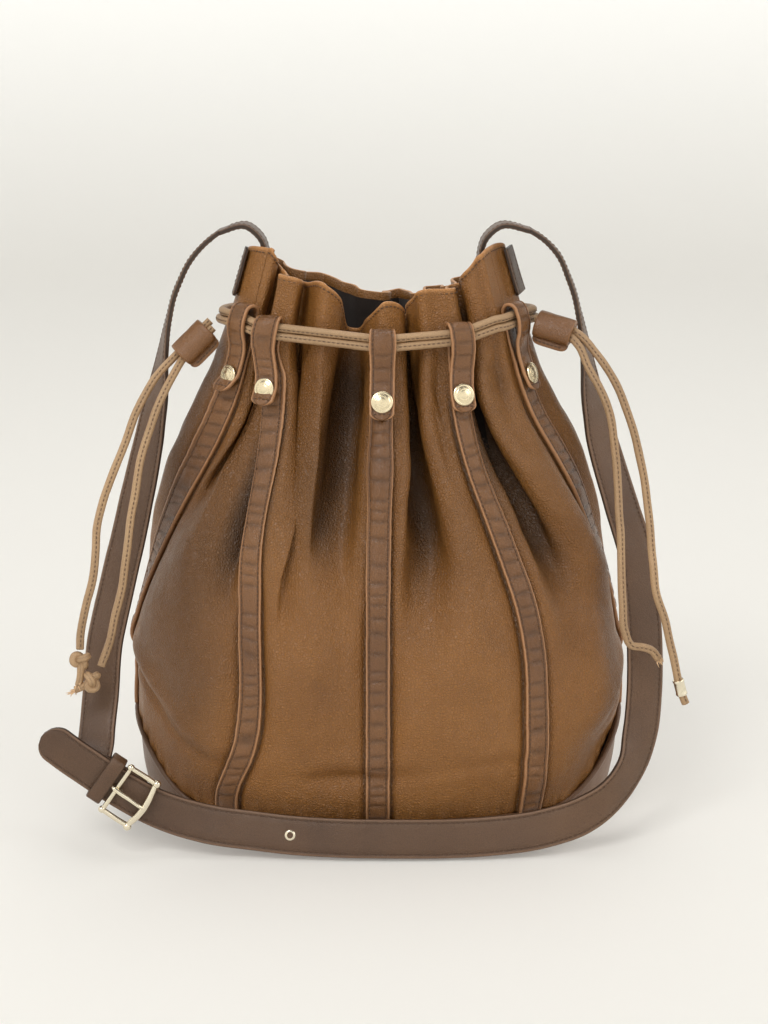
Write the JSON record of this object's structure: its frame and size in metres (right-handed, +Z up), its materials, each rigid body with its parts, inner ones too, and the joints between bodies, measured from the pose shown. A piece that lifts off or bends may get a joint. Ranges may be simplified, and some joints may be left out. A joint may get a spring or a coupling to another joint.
{
  "type": "bucket bag",
  "caption": "Gathered leather bucket bag with drawcords under snap tabs, a boat-shaped base, and a buckled shoulder strap that lifts over the mouth.",
  "frame": {"origin": "centre of the base's flat underside", "axes": "+Z up, -Y towards the front where the cords and snaps face the viewer, +X to the viewer's right"},
  "size_m": [0.3745, 0.1861, 0.3501],
  "materials": {
    "body_leather": "pebbled semi-aniline",
    "strip_leather": "smooth, lightly glazed",
    "base_leather": "smooth, lightly glazed",
    "strap_leather": "smooth with dark painted edges",
    "cord_leather": "folded and stitched",
    "lining": "brushed suede",
    "base_board": "fibreboard",
    "snap_gold": "polished",
    "stud_brass": "satin",
    "buckle_metal": "polished"
  },
  "bodies": {
    "root": {"back_panel": "body_leather", "base_board": "base_board", "base_panel": "base_leather", "base_piping": "base_leather", "drawcord_lower": "cord_leather", "drawcord_upper": "cord_leather", "ear_band_left": "strap_leather", "ear_band_right": "strap_leather", "front_panel": "body_leather", "knot_left_inner": "cord_leather", "knot_left_outer": "cord_leather", "lining": "lining", "snap_stud_back": "stud_brass", "snap_stud_back_left": "stud_brass", "snap_stud_back_right": "stud_brass", "snap_stud_front": "stud_brass", "snap_stud_front_left": "stud_brass", "snap_stud_front_right": "stud_brass", "snap_stud_left": "stud_brass", "snap_stud_right": "stud_brass", "strap_anchor_left": "strap_leather", "strap_anchor_right": "strap_leather", "strip_back": "strip_leather", "strip_back_left": "strip_leather", "strip_back_right": "strip_leather", "strip_front": "strip_leather", "strip_front_left": "strip_leather", "strip_front_right": "strip_leather", "strip_left": "strip_leather", "strip_right": "strip_leather", "tail_left_inner": "cord_leather", "tail_left_outer": "cord_leather", "tail_right_inner": "cord_leather", "tail_right_outer": "cord_leather", "tip_ferrule": "buckle_metal"},
    "tab_left_flap": {"tab_left": "strip_leather", "snap_cap_left": "snap_gold"},
    "tab_front_left_flap": {"tab_front_left": "strip_leather", "snap_cap_front_left": "snap_gold"},
    "tab_front_flap": {"tab_front": "strip_leather", "snap_cap_front": "snap_gold"},
    "tab_front_right_flap": {"tab_front_right": "strip_leather", "snap_cap_front_right": "snap_gold"},
    "tab_right_flap": {"tab_right": "strip_leather", "snap_cap_right": "snap_gold"},
    "tab_back_right_flap": {"tab_back_right": "strip_leather", "snap_cap_back_right": "snap_gold"},
    "tab_back_flap": {"tab_back": "strip_leather", "snap_cap_back": "snap_gold"},
    "tab_back_left_flap": {"tab_back_left": "strip_leather", "snap_cap_back_left": "snap_gold"},
    "slider_left_body": {"slider_left": "strip_leather"},
    "slider_right_body": {"slider_right": "strip_leather"},
    "strap": {"strap_short": "strap_leather", "strap_long": "strap_leather", "buckle_frame": "buckle_metal", "strap_eyelet": "buckle_metal"},
    "prong": {"buckle_prong": "buckle_metal"},
    "keeper": {"strap_keeper": "strap_leather"}
  },
  "joints": [
    {"name": "tab_left_open", "type": "hinge", "parent": "root", "child": "tab_left_flap", "pos_m": [-0.07398, -0.02612, 0.30796], "axis": [-0.6994, 0.7148, 0], "range_deg": [0, 120]},
    {"name": "tab_front_left_open", "type": "hinge", "parent": "root", "child": "tab_front_left_flap", "pos_m": [-0.06007, -0.04003, 0.30305], "axis": [-0.907, 0.421, 0], "range_deg": [0, 120]},
    {"name": "tab_front_open", "type": "hinge", "parent": "root", "child": "tab_front_flap", "pos_m": [0.0027, -0.05086, 0.29719], "axis": [-0.9998, -0.0179, 0], "range_deg": [0, 120]},
    {"name": "tab_front_right_open", "type": "hinge", "parent": "root", "child": "tab_front_right_flap", "pos_m": [0.04532, -0.04234, 0.29983], "axis": [-0.9632, -0.2689, 0], "range_deg": [0, 120]},
    {"name": "tab_right_open", "type": "hinge", "parent": "root", "child": "tab_right_flap", "pos_m": [0.07647, -0.02047, 0.30816], "axis": [-0.4858, -0.874, 0], "range_deg": [0, 5]},
    {"name": "tab_back_right_open", "type": "hinge", "parent": "root", "child": "tab_back_right_flap", "pos_m": [0.05859, 0.04126, 0.3024], "axis": [0.9579, -0.2872, 0], "range_deg": [0, 120]},
    {"name": "tab_back_open", "type": "hinge", "parent": "root", "child": "tab_back_flap", "pos_m": [0.01326, 0.04619, 0.29914], "axis": [0.9981, -0.0614, 0], "range_deg": [0, 120]},
    {"name": "tab_back_left_open", "type": "hinge", "parent": "root", "child": "tab_back_left_flap", "pos_m": [-0.03858, 0.04678, 0.30227], "axis": [0.9785, 0.2061, 0], "range_deg": [0, 120]},
    {"name": "slider_left_slide", "type": "slide", "parent": "root", "child": "slider_left_body", "axis": [-0.7075, -0.1519, -0.6902], "range_m": [-0.001, 0.002], "deforming": ["tail_left_outer", "tail_left_inner"]},
    {"name": "slider_right_slide", "type": "slide", "parent": "root", "child": "slider_right_body", "axis": [0.911, -0.3356, -0.2397], "range_m": [-0.001, 0.004], "deforming": ["tail_right_outer", "tail_right_inner"]},
    {"name": "strap_lift", "type": "hinge", "parent": "root", "child": "strap", "pos_m": [0, 0, 0.347], "axis": [-1, 0, 0], "range_deg": [0, 160], "deforming": ["tail_left_outer", "tail_left_inner", "tail_right_outer", "tail_right_inner"]},
    {"name": "prong_lift", "type": "hinge", "parent": "strap", "child": "prong", "pos_m": [-0.1339, -0.09513, 0.03181], "axis": [0.5744, 0.0723, 0.8154], "range_deg": [0, 80]},
    {"name": "keeper_slide", "type": "slide", "parent": "strap", "child": "keeper", "axis": [-0.8185, 0.0409, 0.573], "range_m": [-0.0015, 0.0005]}
  ]
}
